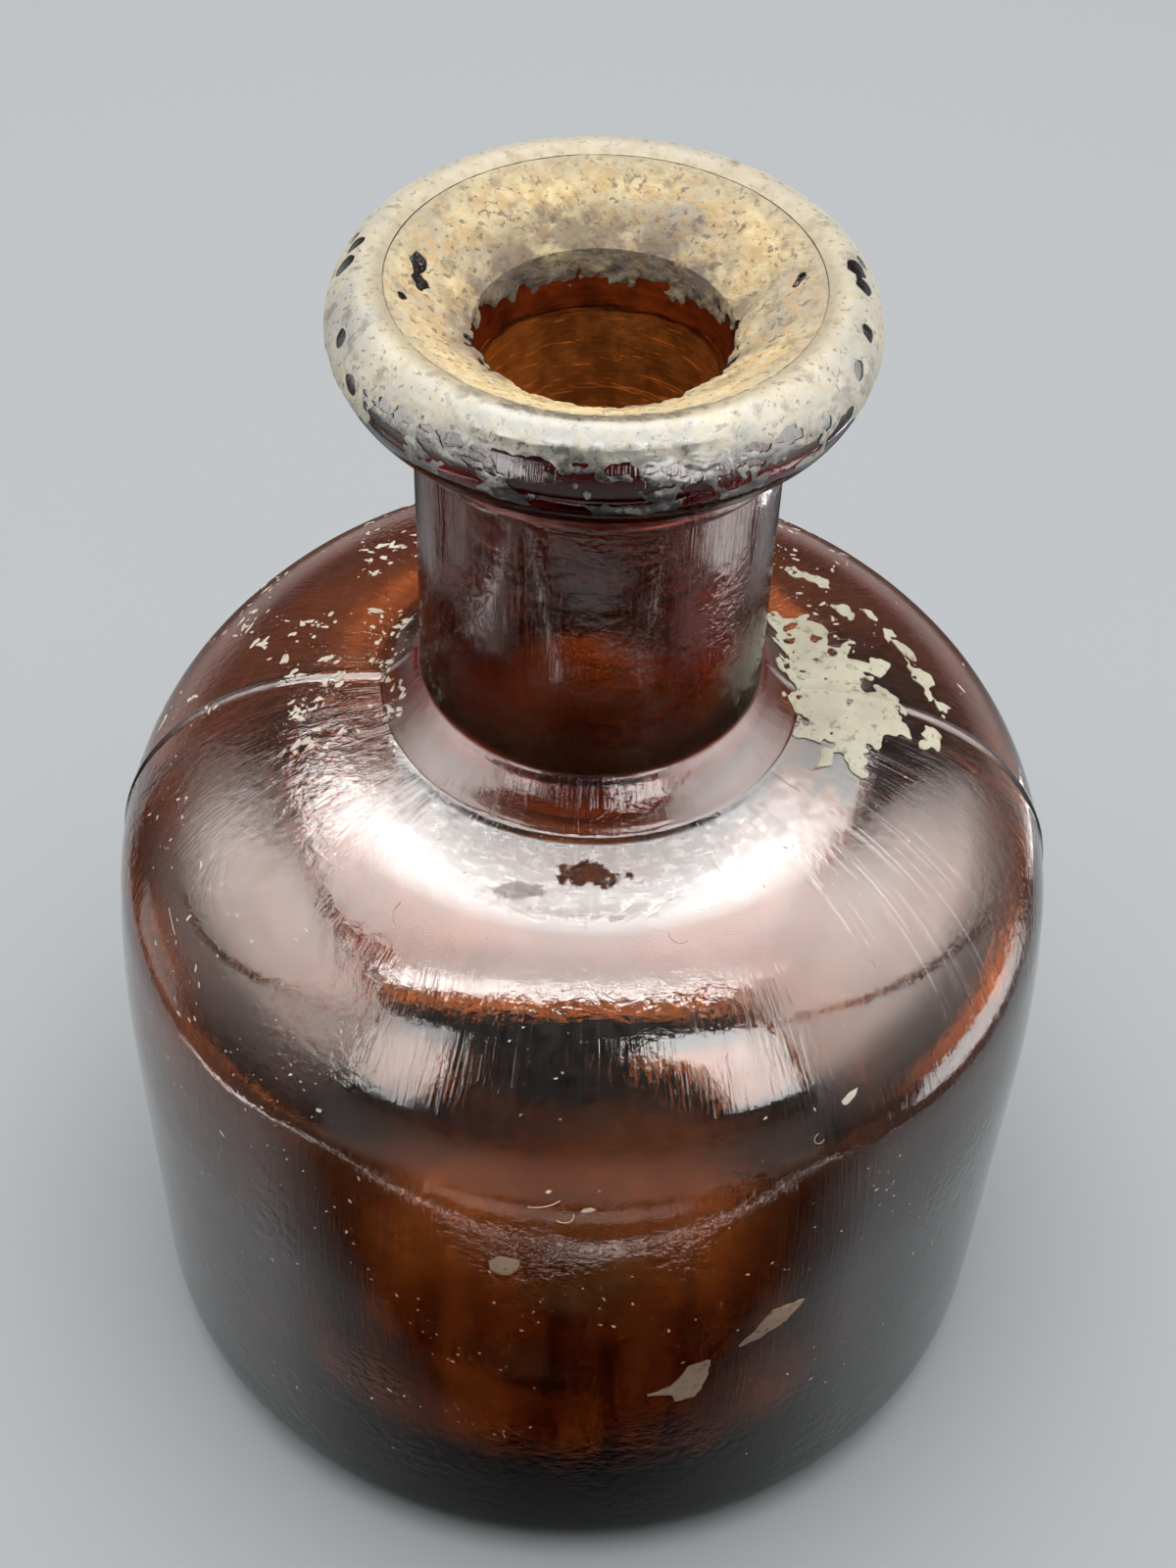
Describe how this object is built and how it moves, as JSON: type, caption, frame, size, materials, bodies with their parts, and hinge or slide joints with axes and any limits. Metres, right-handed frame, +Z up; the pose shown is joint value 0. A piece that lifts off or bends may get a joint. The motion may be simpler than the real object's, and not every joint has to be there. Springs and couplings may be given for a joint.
{
  "type": "apothecary bottle",
  "caption": "Squat round-shouldered amber glass apothecary bottle with a short neck, flared ground mouth and applied bead lip, with worn old paint.",
  "frame": {"origin": "middle of the foot, on the plane that the foot ring stands on", "axes": "+Z up along the bottle's axis and out of its mouth; the mould seams lie in the XZ plane; -Y is the side that faces the camera"},
  "size_m": [0.1004, 0.1, 0.1382],
  "materials": {
    "amber_glass": "dark amber blown glass, glossy, slightly wavy, finely scratched",
    "dark_lip_glass": "very dark amber glass, glossy",
    "grey_paint": "old grey-white paint, rubbed glossy on the bead, chipped",
    "sandy_crust": "matt sandy crust of old paint and residue",
    "cream_paint": "matt cream paint with flaked edges",
    "tan_paint": "matt tan paint flakes"
  },
  "bodies": {
    "root": {"bottle_body": "amber_glass", "applied_lip": "dark_lip_glass", "lip_paint": "grey_paint", "mouth_crust": "sandy_crust", "shoulder_paint": "cream_paint", "wall_flakes": "tan_paint"}
  },
  "joints": []
}
